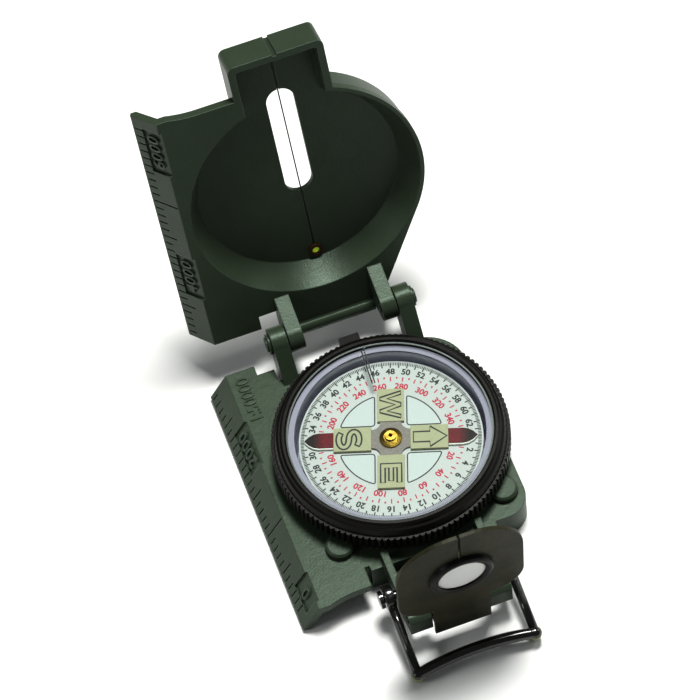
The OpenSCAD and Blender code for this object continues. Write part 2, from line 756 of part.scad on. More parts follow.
module sight_plate() {
    color([0.24, 0.24, 0.19]) sight_frame() difference() {
        union() {
            translate([0, 0, plate_offset]) linear_extrude(height = sight_t) sight_outline();
            for (side = [-1, 1]) {
                x1 = side < 0 ? -neck_w / 2 : neck_w / 2 - flange_t;
                x_rod(x1, x1 + flange_t, flange_r);
                translate([x1, -flange_r, 0]) cube([flange_t, 2 * flange_r, plate_offset + sight_t]);
            }
        }
        translate([0, lens_y, 0]) cylinder(h = 2 * plate_offset, r = lens_r);
        translate([-slit_w / 2, lens_y + ring_outer_r, 0]) cube([slit_w, sight_top, 2 * plate_offset]);
        x_rod(-neck_w, neck_w, sight_pin_d / 2 + run_fit);
    }
}

module lens_ring() {
    color([0.12, 0.12, 0.1]) sight_frame() translate([0, lens_y, plate_offset + sight_t]) rotate_extrude()
        polygon([[lens_r, 0], [ring_outer_r, 0], [ring_outer_r - 0.3, ring_h * 0.75],
            [ring_outer_r - 0.8, ring_h], [lens_r + 0.3, ring_h], [lens_r - 0.35, ring_h * 0.8],
                [lens_r - 0.35, 0.5],
            [lens_r, 0.5]]);
}

module sight_lens() {
    edge = sight_t + 0.5;
    bulge = 0.3;
    color("lightcyan", 0.3) sight_frame() translate([0, lens_y, plate_offset]) {
        cylinder(h = edge, r = lens_r);
        translate([0, 0, edge]) rotate_extrude() polygon(concat([[0, 0]], [for (i = [0:8])
            [(lens_r - 0.4) * cos(i * 11.25), bulge * sin(i * 11.25)]]));
    }
}

module sight_pin() {
    color("black") x_rod(-bracket_outer_x - 0.2, bracket_outer_x + 0.2, sight_pin_d / 2, -sight_y, sight_z);
}

// ---- Thumb loop ----

module thumb_loop() {
    bar_y = crossbar_bow - loop_l;
    swell = 0.15;
    color([0.06, 0.05, 0.05]) loop_frame() {
        for (side = [-1, 1]) difference() {
            union() {
                x_rod(side * arm_x - eye_t / 2, side * arm_x + eye_t / 2, eye_r);
                rod([side * arm_x, -eye_r + 0.6, 0], [side * arm_x, -loop_l, 0], arm_d);
            }
            x_rod(side * arm_x - eye_t, side * arm_x + eye_t, stud_d / 2 + run_fit);
        }
        for (side = [-1, 1]) rod([side * arm_x, -loop_l, 0], [side * bar_half, bar_y, 0], crossbar_d);
        x_rod(-bar_half - 0.5, bar_half + 0.5, crossbar_d / 2 + swell, bar_y);
        for (side = [-1, 1]) translate([side * arm_x, -loop_l, 0]) rotate_extrude() polygon([[0, -foot_l],
            [foot_r * 0.6, -foot_l], [foot_r * 0.9, 0.3 - foot_l], [foot_r, 0.9 - foot_l], [foot_r, 0.8],
            [foot_r * 0.93, 1.1], [foot_r * 0.7, 1.4], [foot_r * 0.35, 1.55], [0, 1.6]]);
    }
}

module loop_stud(side) {
    outer = arm_x + eye_t / 2 + stud_gap;
    color("black") {
        x_rod(side * (bracket_outer_x - bracket_wall), side * outer, stud_d / 2, -loop_y, loop_z);
        x_rod(side * outer, side * (outer + stud_head_t), stud_d / 2 + 1, -loop_y, loop_z);
    }
}

module loop_stud_left() { loop_stud(-1); }

module loop_stud_right() { loop_stud(1); }

base_casting();
back_plate();
back_plate_screws();
capsule_cup();
capsule_crystal();
crystal_seal();
pivot_post();
bezel_snap_ring();
dial_card();
dial_magnet();
needle_bar();
luminous_plates();
centre_plate();
jewel_cap();
jewel_bearing();
bezel_ring();
bezel_glass();
bezel_marker();
cover_casting();
sighting_wire();
wire_plug();
luminous_dot();
dot_ring();
hinge_pin_left();
hinge_pin_right();
sight_plate();
sight_lens();
lens_ring();
sight_pin();
thumb_loop();
loop_stud_left();
loop_stud_right();
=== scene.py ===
"""Folding sighting compass: enamel, dial printing, glass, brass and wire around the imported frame."""

import math

import bmesh
import bpy
from mathutils import Matrix, Vector


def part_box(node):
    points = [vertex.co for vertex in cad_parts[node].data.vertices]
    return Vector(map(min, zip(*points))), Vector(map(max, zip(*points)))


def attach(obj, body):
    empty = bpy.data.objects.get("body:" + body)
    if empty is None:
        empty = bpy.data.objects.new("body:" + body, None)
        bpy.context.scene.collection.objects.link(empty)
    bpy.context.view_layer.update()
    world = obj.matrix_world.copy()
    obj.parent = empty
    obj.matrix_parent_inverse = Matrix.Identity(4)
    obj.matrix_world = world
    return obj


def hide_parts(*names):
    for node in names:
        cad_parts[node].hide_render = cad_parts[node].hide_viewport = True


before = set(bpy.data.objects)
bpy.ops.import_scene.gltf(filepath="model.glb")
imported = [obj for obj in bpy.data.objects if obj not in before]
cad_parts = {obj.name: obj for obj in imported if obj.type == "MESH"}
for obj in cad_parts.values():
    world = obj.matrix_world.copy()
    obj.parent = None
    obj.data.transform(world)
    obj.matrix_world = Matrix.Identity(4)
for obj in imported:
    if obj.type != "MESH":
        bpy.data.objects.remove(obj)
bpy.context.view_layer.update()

MM = 0.001

# Where the frame's pieces stand at rest: millimetres and radians
DIAL_HEADING = math.radians(-19.5)
HINGE_Y = 33.0
HINGE_Z = 13.0
COVER_SLOPE = math.radians(72.6)
FOLD_GAP = 0.1
BASE_TOP = 7.5
RULER_EDGE_X = -32.4
RULER_EDGE_DROP = 6.4
RULER_EDGE_RUN = 4.2
BEVEL_ANGLE = math.atan2(RULER_EDGE_DROP, RULER_EDGE_RUN)
BEVEL_LENGTH = math.hypot(RULER_EDGE_DROP, RULER_EDGE_RUN)

# Ruler figures: each sunk pad's numeral with its distance along the ruler, and the map ratio
PAD_HEIGHT = 4.9
PAD_DEPTH = 0.5
PAD_SHIFT = 0.1
BASE_NUMERALS = (("2000", 13.5), ("0", -25.5))
COVER_NUMERALS = (("4000", 19.6), ("6000", 54.7))
NUMERAL_H = 3.3
NUMERAL_T = 0.42
NUMERAL_SWELL = 0.05
RATIO_TEXT = "1:50000"
RATIO_AT = (-25.0, 24.2)
RATIO_H = 3.1
RATIO_T = 0.25
RATIO_SWELL = 0.03
RATIO_STRETCH = 0.9

# Dial printing: R, IN and OUT are radii in millimetres, and W, H, L and T are sizes
INK_T = 0.03
MILS_PER_TURN = 6400
MIL_STEP = 20
MIL_LONG_STEP = 100
MIL_FIGURE_STEP = 200
MIL_TICK_OUT = 19.9
MIL_TICK_IN = 19.15
MIL_LONG_IN = 18.55
MIL_TICK_W = 0.18
MIL_FIGURE_R = 17.5
RED_STEP = 5
RED_LONG_STEP = 10
RED_FIGURE_STEP = 20
RED_TICK_OUT = 16.15
RED_TICK_L = 0.45
RED_LONG_IN = 15.05
RED_TICK_W = 0.34
RED_FIGURE_R = 13.7
LONG_TICK_W = 0.26
FIGURE_H = 1.45
FIGURE_SWELL = 0.06
WINDOW_R = 11.7
WINDOW_INNER = 3.55
WINDOW_LINE_W = 0.26
LETTER_LINE_W = 0.38
LETTER_T = 0.05
NEEDLE_W = 3.7
NEEDLE_TIP = 19.0
NEEDLE_BARE_FROM = 12.65
NEEDLE_EDGE_W = 0.3
NEEDLE_EDGE_DROP = 0.15
CAP_HEIGHT = 0.73

# Camera, in metres and radians from the origin, and its lens in millimetres
CAMERA_AT = Vector((-93.8, -387.5, 672.5)) * MM
CAMERA_HEADING = math.radians(12.73)
CAMERA_DROP = math.radians(57.35)
CAMERA_ROLL = math.radians(8.19)
CAMERA_LENS = 181.0
SENSOR = 36.0

# Light
VIEW_GAMMA = 0.84
ROOM_COLOR = (0.95, 0.97, 1.0, 1.0)
ROOM_STRENGTH = 0.16
FLOOR_HALF = 3.0

# Samples of the Bevel and Ambient Occlusion nodes, and the gain on a bevel's turn of the normal
EDGE_SAMPLES = 6
EDGE_GAIN = 6.0


# ---- Shader toolkit ----

class Signal:
    """One socket in a finish's node tree. Arithmetic on it adds Math nodes."""

    def __init__(self, finish, socket):
        self.finish = finish
        self.socket = socket

    def _math(self, operation, first, second):
        return self.finish.node("ShaderNodeMath", {"operation": operation}, {0: first, 1: second})[0]

    def __add__(self, other):
        return self._math("ADD", self, other)

    def __radd__(self, other):
        return self._math("ADD", other, self)

    def __rsub__(self, other):
        return self._math("SUBTRACT", other, self)

    def __mul__(self, other):
        return self._math("MULTIPLY", self, other)

    def __rmul__(self, other):
        return self._math("MULTIPLY", other, self)

    def __pow__(self, other):
        return self._math("POWER", self, other)

    def above(self, level, width):
        """Rises from 0 to 1 as the signal passes level, over the given width."""
        return self.finish.node("ShaderNodeMapRange", {"clamp": True}, {
            "Value": self, "From Min": level - width / 2, "From Max": level + width / 2})["Result"]


class Outputs:
    """A node's outputs as signals, by name or by place."""

    def __init__(self, finish, node):
        self.finish = finish
        self.node = node

    def __getitem__(self, key):
        return Signal(self.finish, self.node.outputs[key])


class Finish:
    """A material under construction, with the object's own coordinates in millimetres."""

    def __init__(self, name):
        self.material = bpy.data.materials.new(name)
        self.material.use_nodes = True
        self.tree = self.material.node_tree
        self.tree.nodes.clear()
        self.out = self.tree.nodes.new("ShaderNodeOutputMaterial")
        place = self.node("ShaderNodeTexCoord")["Object"]
        self.place = self.vector_math("SCALE", {0: place, "Scale": 1 / MM})[0]

    def node(self, kind, settings=None, inputs=None):
        """Adds a node: its settings first, then each input's value or link."""
        node = self.tree.nodes.new(kind)
        for key, value in (settings or {}).items():
            setattr(node, key, value)
        for key, value in (inputs or {}).items():
            self.feed(node.inputs[key], value)
        return Outputs(self, node)

    def vector_math(self, operation, inputs):
        return self.node("ShaderNodeVectorMath", {"operation": operation}, inputs)

    def feed(self, socket, value):
        if isinstance(value, Signal):
            self.tree.links.new(value.socket, socket)
        else:
            socket.default_value = value

    def noise(self, scale, detail=3.0, roughness=0.5, stretch=None):
        """Noise with features 1 / scale millimetres across."""
        place = self.place
        if stretch:
            place = self.vector_math("MULTIPLY", {0: place, 1: stretch})[0]
        return self.node("ShaderNodeTexNoise", {}, {
            "Vector": place, "Scale": scale, "Detail": detail, "Roughness": roughness})["Fac"]

    def radius(self):
        """The distance from the object's own Z axis."""
        across = self.node("ShaderNodeSeparateXYZ", {}, {0: self.place})
        x, y = across["X"], across["Y"]
        return (x * x + y * y) ** 0.5

    def blend(self, amount, first, second):
        """A colour between two colours."""
        mix = self.tree.nodes.new("ShaderNodeMix")
        mix.data_type = "RGBA"
        self.feed(mix.inputs["Factor"], amount)
        for key, value in (("A", first), ("B", second)):
            socket = next(s for s in mix.inputs if s.name == key and s.type == "RGBA")
            self.feed(socket, value if isinstance(value, Signal) else rgba(value))
        return Signal(self, next(s for s in mix.outputs if s.type == "RGBA"))

    def rounded(self, radius):
        """The normal as if the edges were rounded by a radius in millimetres."""
        return self.node("ShaderNodeBevel", {"samples": EDGE_SAMPLES}, {"Radius": radius * MM})["Normal"]

    def edges(self, radius):
        """About 1 along sharp outer edges and 0 on flat faces."""
        flat = self.node("ShaderNodeNewGeometry")["Normal"]
        cosine = self.vector_math("DOT_PRODUCT", {0: self.rounded(radius), 1: flat})["Value"]
        return (1.0 - cosine) * EDGE_GAIN

    def hollows(self, reach):
        """About 1 on open faces, falling to 0 inside grooves and corners narrower than reach."""
        return self.node("ShaderNodeAmbientOcclusion", {"samples": EDGE_SAMPLES, "only_local": True},
                         {"Distance": reach * MM})["AO"]

    def relief(self, height, depth, radius=0.0):
        """A bumped normal from a height signal, with its depth in millimetres."""
        inputs = {"Height": height, "Distance": depth * MM, "Strength": 1.0}
        if radius:
            inputs["Normal"] = self.rounded(radius)
        return self.node("ShaderNodeBump", {}, inputs)["Normal"]

    def principled(self, sockets):
        """A Principled shader, with base_color for its socket Base Color, and so on."""
        named = {key.replace("_", " ").title().replace("Ior", "IOR"): value
                 for key, value in sockets.items()}
        return self.node("ShaderNodeBsdfPrincipled", {}, named)["BSDF"]

    def surface(self, **sockets):
        """Closes the finish with one Principled shader."""
        return self.close(self.principled(sockets))

    def part_clear(self, share, tint, **sockets):
        """Closes the finish as a mix: a share of it is a Principled shader, the rest lets light pass."""
        clear = self.node("ShaderNodeBsdfTransparent", {}, {"Color": rgba(tint)})[0]
        solid = self.principled(sockets)
        return self.close(self.node("ShaderNodeMixShader", {}, {0: share, 1: clear, 2: solid})[0])

    def close(self, shader):
        self.tree.links.new(shader.socket, self.out.inputs["Surface"])
        return self.material


def rgba(color):
    return (*color, 1.0)


# ---- Finishes ----

def green_enamel():
    f = Finish("green_enamel")
    cloud = f.noise(0.12, 3.0)
    grain = f.noise(2.6, 2.0, 0.6)
    speck = f.noise(7.0, 1.0).above(0.66, 0.05)
    # Lighter rims along sharp edges: partly wear, partly a painted highlight.
    wear_and_edge_highlight = (f.edges(0.22) * f.noise(0.9, 4.0)).above(0.42, 0.3)
    paint = f.blend(cloud, (0.030, 0.044, 0.026), (0.044, 0.062, 0.040))
    paint = f.blend(speck * 0.3, paint, (0.10, 0.13, 0.09))
    paint = f.blend(wear_and_edge_highlight * 0.6, paint, (0.22, 0.29, 0.23))
    # Painted shade with some grime: the paint turns near-black in grooves and corners narrower than 0.7 mm.
    paint = f.blend((1.0 - f.hollows(0.7)).above(0.42, 0.6) * 0.8, paint, (0.004, 0.006, 0.003))
    return f.surface(
        base_color=paint, roughness=0.30 + 0.14 * grain, specular_tint=(0.8, 1.0, 0.86, 1.0),
        specular_ior_level=0.30, normal=f.relief(grain + f.noise(0.55, 2.0), 0.035, 0.35))


def bezel_black():
    f = Finish("bezel_black")
    grain = f.noise(3.2, 2.0)
    # Lighter rims along sharp edges: partly wear, partly a painted highlight.
    wear_and_edge_highlight = (f.edges(0.12) * f.noise(1.3, 3.0)).above(0.42, 0.3)
    paint = f.blend(f.noise(0.2), (0.0035, 0.0032, 0.0024), (0.007, 0.0062, 0.0048))
    paint = f.blend(wear_and_edge_highlight * 0.4, paint, (0.10, 0.10, 0.085))
    return f.surface(
        base_color=paint, roughness=0.28 + 0.12 * grain, specular_ior_level=0.16,
        normal=f.relief(grain, 0.02, 0.12))


def sight_olive():
    f = Finish("sight_olive")
    grain = f.noise(1.4, 3.0)
    # Lighter rims along sharp edges: partly wear, partly a painted highlight.
    wear_and_edge_highlight = (f.edges(0.12) * f.noise(1.6, 3.0)).above(0.40, 0.3)
    paint = f.blend(f.noise(0.25), (0.028, 0.027, 0.012), (0.042, 0.041, 0.020))
    paint = f.blend(f.noise(0.14, 2.0).above(0.58, 0.25) * 0.6, paint, (0.014, 0.014, 0.008))
    paint = f.blend(wear_and_edge_highlight * 0.3, paint, (0.12, 0.13, 0.09))
    return f.surface(
        base_color=paint, roughness=0.38 + 0.15 * grain, specular_ior_level=0.15,
        normal=f.relief(grain + f.noise(5.0), 0.02, 0.15))


def loop_black():
    f = Finish("loop_black")
    grain = f.noise(2.2, 3.0)
    paint = f.blend(f.noise(0.4).above(0.62, 0.1) * 0.5, (0.006, 0.006, 0.005), (0.02, 0.021, 0.017))
    return f.surface(
        base_color=paint, roughness=0.16 + 0.12 * grain, coat_weight=0.6, coat_roughness=0.06,
        normal=f.relief(grain, 0.015, 0.15))


def bare_tip():
    f = Finish("bare_tip")
    scratch = f.noise(3.0, 4.0, 0.6)
    metal = f.blend(scratch, (0.16, 0.18, 0.09), (0.30, 0.33, 0.19))
    return f.surface(
        base_color=metal, metallic=0.3, roughness=0.3 + 0.25 * scratch,
        normal=f.relief(scratch, 0.03, 0.1))


def blackened_steel():
    f = Finish("blackened_steel")
    brushed = f.noise(4.0, 2.0, stretch=(0.2, 1.0, 1.0))
    paint = f.blend(brushed, (0.020, 0.020, 0.019), (0.045, 0.045, 0.042))
    return f.surface(
        base_color=paint, metallic=0.8, roughness=0.3 + 0.15 * brushed,
        normal=f.relief(brushed, 0.01, 0.08))


def brass():
    f = Finish("turned_brass")
    radius = f.radius()
    rings = f.node("ShaderNodeTexNoise", {"noise_dimensions": "1D"}, {
        "W": radius, "Scale": 9.0, "Detail": 2.0})["Fac"]
    tint = f.blend(f.noise(1.2), (0.38, 0.24, 0.04), (0.54, 0.37, 0.08))
    tint = f.blend(f.noise(2.5).above(0.62, 0.2) * 0.6, tint, (0.20, 0.12, 0.03))
    return f.surface(
        base_color=tint, metallic=1.0, roughness=0.2 + 0.2 * rings, normal=f.relief(rings, 0.02, 0.08))


def dark_brown():
    f = Finish("dark_brown")
    haze = f.noise(4.0, 3.0)
    return f.surface(
        base_color=f.blend(haze, (0.055, 0.020, 0.010), (0.11, 0.045, 0.022)), metallic=0.5,
        roughness=0.25 + 0.2 * haze, normal=f.relief(haze, 0.01, 0.08))


def spring_steel():
    f = Finish("spring_steel")
    brushed = f.noise(5.0, 3.0)
    return f.surface(
        base_color=f.blend(brushed, (0.40, 0.40, 0.40), (0.62, 0.62, 0.60)), metallic=1.0,
        roughness=0.25 + 0.2 * brushed, normal=f.relief(brushed, 0.01))


def capsule_metal():
    f = Finish("capsule_metal")
    drawn = f.noise(2.0, 3.0, stretch=(1.0, 1.0, 0.15))
    return f.surface(
        base_color=f.blend(drawn, (0.80, 0.79, 0.95), (0.88, 0.87, 0.98)),
        roughness=0.38 + 0.2 * drawn, normal=f.relief(drawn, 0.01))


def ring_lavender():
    f = Finish("ring_lavender")
    turned_marks = f.noise(3.0, 3.0)
    return f.surface(
        base_color=f.blend(turned_marks, (0.31, 0.31, 0.385), (0.37, 0.37, 0.44)),
        roughness=0.5 + 0.2 * turned_marks, specular_ior_level=0.2, normal=f.relief(turned_marks, 0.01))


def dial_white():
    f = Finish("dial_white")
    fibre = f.noise(3.0, 4.0, 0.6)
    card = f.blend(f.noise(0.18), (0.54, 0.565, 0.56), (0.60, 0.62, 0.615))
    card = f.blend(fibre.above(0.6, 0.2) * 0.25, card, (0.50, 0.52, 0.515))
    return f.surface(base_color=card, roughness=0.42 + 0.2 * fibre, normal=f.relief(fibre, 0.006))


def ink(name, dark, light):
    f = Finish(name)
    cover = f.noise(6.0, 2.0)
    return f.surface(
        base_color=f.blend(cover.above(0.62, 0.25), dark, light), roughness=0.45 + 0.2 * cover,
        normal=f.relief(cover, 0.004))


def lume_pale():
    f = Finish("lume_pale")
    grain = f.noise(5.0, 3.0)
    paste = f.blend(f.noise(0.5), (0.42, 0.425, 0.265), (0.49, 0.49, 0.32))
    return f.surface(
        base_color=f.blend(grain.above(0.6, 0.2) * 0.4, paste, (0.36, 0.37, 0.23)),
        roughness=0.5 + 0.2 * grain, normal=f.relief(grain, 0.02, 0.08))


def needle_red():
    f = Finish("needle_red")
    radius = f.radius()
    mottle = f.noise(3.2, 4.0, 0.7)
    tint = f.blend(mottle.above(0.52, 0.16) * 0.75, (0.20, 0.006, 0.016), (0.060, 0.008, 0.012))
    tint = f.blend((radius + mottle * 2.2).above(17.0, 2.4), tint, (0.012, 0.004, 0.004))
    return f.surface(
        base_color=tint, roughness=0.22 + 0.2 * mottle, specular_ior_level=0.2,
        normal=f.relief(mottle, 0.02, 0.08))


def smoked_clear():
    f = Finish("smoked_clear")
    swirl = f.noise(2.0, 4.0, 0.6)
    return f.surface(
        base_color=f.blend(swirl, (0.20, 0.17, 0.15), (0.40, 0.37, 0.35)),
        roughness=0.12 + 0.1 * swirl, normal=f.relief(swirl, 0.02))


def lume_green():
    f = Finish("lume_green")
    grain = f.noise(6.0, 3.0)
    return f.surface(
        base_color=f.blend(grain, (0.42, 0.62, 0.03), (0.62, 0.80, 0.10)), roughness=0.4 + 0.2 * grain,
        emission_color=(0.5, 0.7, 0.05, 1.0), emission_strength=0.25, normal=f.relief(grain, 0.02))


def jewel_red():
    f = Finish("jewel_red")
    haze = f.noise(4.0, 3.0)
    return f.surface(
        base_color=f.blend(haze, (0.35, 0.01, 0.03), (0.5, 0.03, 0.06)), roughness=0.08 + 0.1 * haze,
        coat_weight=0.6, normal=f.relief(haze, 0.004))


def pale_seal():
    f = Finish("pale_seal")
    pores = f.noise(6.0, 3.0)
    return f.surface(
        base_color=f.blend(pores, (0.50, 0.50, 0.60), (0.62, 0.62, 0.70)), roughness=0.5 + 0.2 * pores,
        normal=f.relief(pores, 0.02))


def hazy_clear(name, tint, share):
    """A pale see-through finish: a share of it, and a little more in places, is milky."""
    f = Finish(name)
    haze = f.noise(1.5, 3.0)
    return f.part_clear(
        share + 0.15 * haze, (0.97, 0.98, 0.98),
        base_color=f.blend(haze, tint, tuple(0.85 * c for c in tint)), roughness=0.25 + 0.2 * haze,
        normal=f.relief(haze, 0.01))


def clear_glass():
    """Clear from above, with its gloss at the surface and stronger towards its edge."""
    f = Finish("clear_glass")
    smear = f.noise(0.22, 3.0)
    fresnel = f.node("ShaderNodeFresnel", {}, {"IOR": 1.45})[0]
    return f.part_clear(
        fresnel * 0.35, (0.985, 0.995, 0.99),
        base_color=(0.9, 0.95, 0.94, 1.0), metallic=1.0, roughness=0.02 + 0.05 * smear,
        normal=f.relief(f.noise(0.08, 1.0), 0.01))


# ---- Mesh helpers ----

def piece(name, mesh_maker, material, body):
    """Makes one mesh piece from a function that fills a bmesh in millimetres."""
    bm = bmesh.new()
    mesh_maker(bm)
    bmesh.ops.transform(bm, matrix=Matrix.Scale(MM, 4), verts=bm.verts)
    bmesh.ops.recalc_face_normals(bm, faces=bm.faces)
    mesh = bpy.data.meshes.new(name)
    bm.to_mesh(mesh)
    bm.free()
    mesh.materials.append(material)
    obj = bpy.data.objects.new(name, mesh)
    bpy.context.scene.collection.objects.link(obj)
    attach(obj, body)
    return obj


def slab(bm, outline, thickness, place):
    """Adds a flat prism over an outline of (x, y) points, placed by a matrix."""
    bottom = [bm.verts.new(place @ Vector((x, y, 0))) for x, y in outline]
    top = [bm.verts.new(place @ Vector((x, y, thickness))) for x, y in outline]
    count = len(outline)
    bm.faces.new(top)
    bm.faces.new(bottom[::-1])
    for i in range(count):
        j = (i + 1) % count
        bm.faces.new((bottom[i], bottom[j], top[j], top[i]))


def bar_outline(width, y1, y2):
    return [(-width / 2, y1), (width / 2, y1), (width / 2, y2), (-width / 2, y2)]


def lettering(bm, text, height, place, thickness, swell, stretch=1.0):
    """Adds figures from the built-in font, swollen by an outline, as a thin centred solid."""
    curve = bpy.data.curves.new("figures", "FONT")
    curve.body = text
    curve.size = height / CAP_HEIGHT
    curve.align_x = "CENTER"
    curve.align_y = "CENTER"
    curve.resolution_u = 4
    curve.extrude = thickness / 2
    curve.offset = swell
    carrier = bpy.data.objects.new("figures", curve)
    bpy.context.scene.collection.objects.link(carrier)
    evaluated = carrier.evaluated_get(bpy.context.evaluated_depsgraph_get())
    start = len(bm.verts)
    bm.from_mesh(evaluated.to_mesh())
    bm.verts.ensure_lookup_table()
    shift = Matrix.Translation((0, 0, thickness / 2)) @ Matrix.Diagonal((stretch, 1, 1, 1))
    bmesh.ops.transform(bm, matrix=place @ shift, verts=bm.verts[start:])
    evaluated.to_mesh_clear()
    bpy.data.objects.remove(carrier)
    bpy.data.curves.remove(curve)


def turned(angle, radius, z=0.0):
    """A place on the dial: out along +Y at an angle clockwise from north, which lies along +X."""
    return (Matrix.Rotation(DIAL_HEADING - math.pi / 2 - angle, 4, "Z")
            @ Matrix.Translation((0, radius, z)))


def rounded_path(points, reaches, steps=5):
    """A closed outline with each corner cut back by its own reach and curved across."""
    path = []
    count = len(points)
    for i, corner in enumerate(points):
        before = Vector(points[i - 1]) - Vector(corner)
        after = Vector(points[(i + 1) % count]) - Vector(corner)
        a = Vector(corner) + before.normalized() * reaches[i]
        b = Vector(corner) + after.normalized() * reaches[i]
        for k in range(steps + 1):
            t = k / steps
            path.append(tuple((1 - t) ** 2 * a + 2 * t * (1 - t) * Vector(corner) + t ** 2 * b))
    return path


def stroke(bm, path, width, thickness, place, closed=True):
    """Adds a flat line of even width along a path."""
    count = len(path)
    points = [Vector(p) for p in path]
    rims = []
    section = ((1, 0), (-1, 0), (-1, thickness), (1, thickness))
    for i, point in enumerate(points):
        before = points[i - 1] if closed or i else point
        after = points[(i + 1) % count] if closed or i < count - 1 else point
        along = (after - before).normalized()
        side = Vector((-along.y, along.x)) * width / 2
        rims.append([bm.verts.new(place @ Vector((*(point + side * s), z))) for s, z in section])
    for i in range(count if closed else count - 1):
        here, there = rims[i], rims[(i + 1) % count]
        for k in range(4):
            m = (k + 1) % 4
            bm.faces.new((here[k], here[m], there[m], there[k]))
    if not closed:
        bm.faces.new(rims[0])
        bm.faces.new(rims[-1][::-1])


# ---- Dial ----

CARD_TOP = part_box("dial_card")[1][2] / MM
LUME_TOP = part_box("luminous_plates")[1][2] / MM


def mil_scale(bm):
    """The outer scale: a tick for every 20 mils and a figure, in hundreds, for every 200."""
    for mils in range(0, MILS_PER_TURN, MIL_STEP):
        angle = 2 * math.pi * mils / MILS_PER_TURN
        long = mils % MIL_LONG_STEP == 0
        inner = MIL_LONG_IN if long else MIL_TICK_IN
        slab(bm, bar_outline(LONG_TICK_W if long else MIL_TICK_W, inner - MIL_TICK_OUT, 0), INK_T,
             turned(angle, MIL_TICK_OUT, CARD_TOP))
        if mils % MIL_FIGURE_STEP == 0 and mils:
            lettering(bm, str(mils // 100), FIGURE_H, turned(angle, MIL_FIGURE_R, CARD_TOP), INK_T,
                      FIGURE_SWELL)


def degree_scale(bm):
    """The inner red scale: a tick for every 5 degrees and a figure for every 20."""
    for degrees in range(0, 360, RED_STEP):
        angle = math.radians(degrees)
        long = degrees % RED_LONG_STEP == 0
        inner = RED_LONG_IN if long else RED_TICK_OUT - RED_TICK_L
        slab(bm, bar_outline(LONG_TICK_W if long else RED_TICK_W, inner - RED_TICK_OUT, 0), INK_T,
             turned(angle, RED_TICK_OUT, CARD_TOP))
        if degrees % RED_FIGURE_STEP == 0 and degrees:
            lettering(bm, str(degrees), FIGURE_H, turned(angle, RED_FIGURE_R, CARD_TOP), INK_T,
                      FIGURE_SWELL)


def window_path(quarter):
    """One quarter window between the luminous plates, as a rounded sector."""
    steps = 14
    end = math.acos(WINDOW_INNER / WINDOW_R)
    start = math.pi / 2 - end
    arc = [(WINDOW_R * math.cos(start + (end - start) * i / steps),
            WINDOW_R * math.sin(start + (end - start) * i / steps)) for i in range(steps + 1)]
    corners = [(WINDOW_INNER, WINDOW_INNER), *arc]
    path = rounded_path(corners, [0.8, 0.55, *([0.2] * (steps - 1)), 0.55])
    turn = Matrix.Rotation(DIAL_HEADING + quarter * math.pi / 2, 2)
    return [tuple(turn @ Vector(p)) for p in path]


def window_lines(bm):
    for quarter in range(4):
        stroke(bm, window_path(quarter), WINDOW_LINE_W, INK_T, Matrix.Translation((0, 0, CARD_TOP)))


def window_fills(bm):
    for quarter in range(4):
        slab(bm, window_path(quarter), INK_T / 3, Matrix.Translation((0, 0, CARD_TOP)))


def arrow_path():
    """The outlined arrow on the north plate, pointing along +Y."""
    return [(-1.3, 4.95), (1.3, 4.95), (1.3, 8.6), (2.6, 8.6), (0.0, 12.3), (-2.6, 8.6), (-1.3, 8.6)]


def letter_e():
    """An outlined E, 4.8 wide and 4.6 high."""
    return [(-2.4, -2.3), (2.4, -2.3), (2.4, -1.3), (-1.3, -1.3), (-1.3, -0.5), (2.0, -0.5), (2.0, 0.5),
            (-1.3, 0.5), (-1.3, 1.3), (2.4, 1.3), (2.4, 2.3), (-2.4, 2.3)]


def letter_w():
    """An outlined W, 7 wide and 4.65 high."""
    return [(-3.5, 2.3), (-1.95, -2.35), (-1.25, -2.35), (0.0, 1.0), (1.25, -2.35), (1.95, -2.35),
            (3.5, 2.3), (2.6, 2.3), (1.6, -0.75), (0.42, 2.3), (-0.42, 2.3), (-1.6, -0.75), (-2.6, 2.3)]


def letter_s(width, height, stroke_w):
    """The outline of a rounded S: an upper arc from 35 to 270 degrees and a lower one from 90 down."""
    r = height / 4
    centre = []
    steps = 12
    sweep = 270 - 35
    for i in range(steps + 1):
        a = math.radians(35 + sweep * i / steps)
        centre.append(Vector((width / 2 * math.cos(a), r + r * math.sin(a))))
    for i in range(1, steps + 1):
        a = math.radians(90 - sweep * i / steps)
        centre.append(Vector((width / 2 * math.cos(a), -r + r * math.sin(a))))
    left, right = [], []
    for i, point in enumerate(centre):
        along = (centre[min(i + 1, len(centre) - 1)] - centre[max(i - 1, 0)]).normalized()
        side = Vector((-along.y, along.x)) * stroke_w / 2
        left.append(tuple(point + side))
        right.append(tuple(point - side))
    return left + right[::-1]


def plate_letters(bm):
    """The dark outlines on the luminous plates: an arrow for north, then E, S and W, upright to north."""
    place = turned(0.0, 0.0, LUME_TOP)
    for path, at in ((arrow_path(), (0.0, 0.0)), (letter_e(), (8.9, 0.0)),
                     (letter_s(3.9, 4.5, 1.15), (0.0, -9.2)), (letter_w(), (-8.5, 0.0))):
        stroke(bm, path, LETTER_LINE_W, LETTER_T, place @ Matrix.Translation((*at, 0)))


def needle_edge(bm):
    """The bright bare side of the pointer bar, along its eastern edge."""
    low, high = (corner[2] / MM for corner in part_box("needle_bar"))
    half = NEEDLE_W / 2
    edge = [(half + 0.2, NEEDLE_BARE_FROM), (half + 0.2, NEEDLE_TIP - 3.2), (half - 0.05, NEEDLE_TIP - 2.0),
            (half - 0.75, NEEDLE_TIP - 0.9), (0.15, NEEDLE_TIP - 0.05)]
    for end in (1, -1):
        path = [(x, end * y) for x, y in edge]
        stroke(bm, path[::end], NEEDLE_EDGE_W, high - low - NEEDLE_EDGE_DROP, turned(0.0, 0.0, low),
               closed=False)


# ---- Ruler figures ----

QUARTER_TURN = Matrix.Rotation(math.pi / 2, 4, "Z")


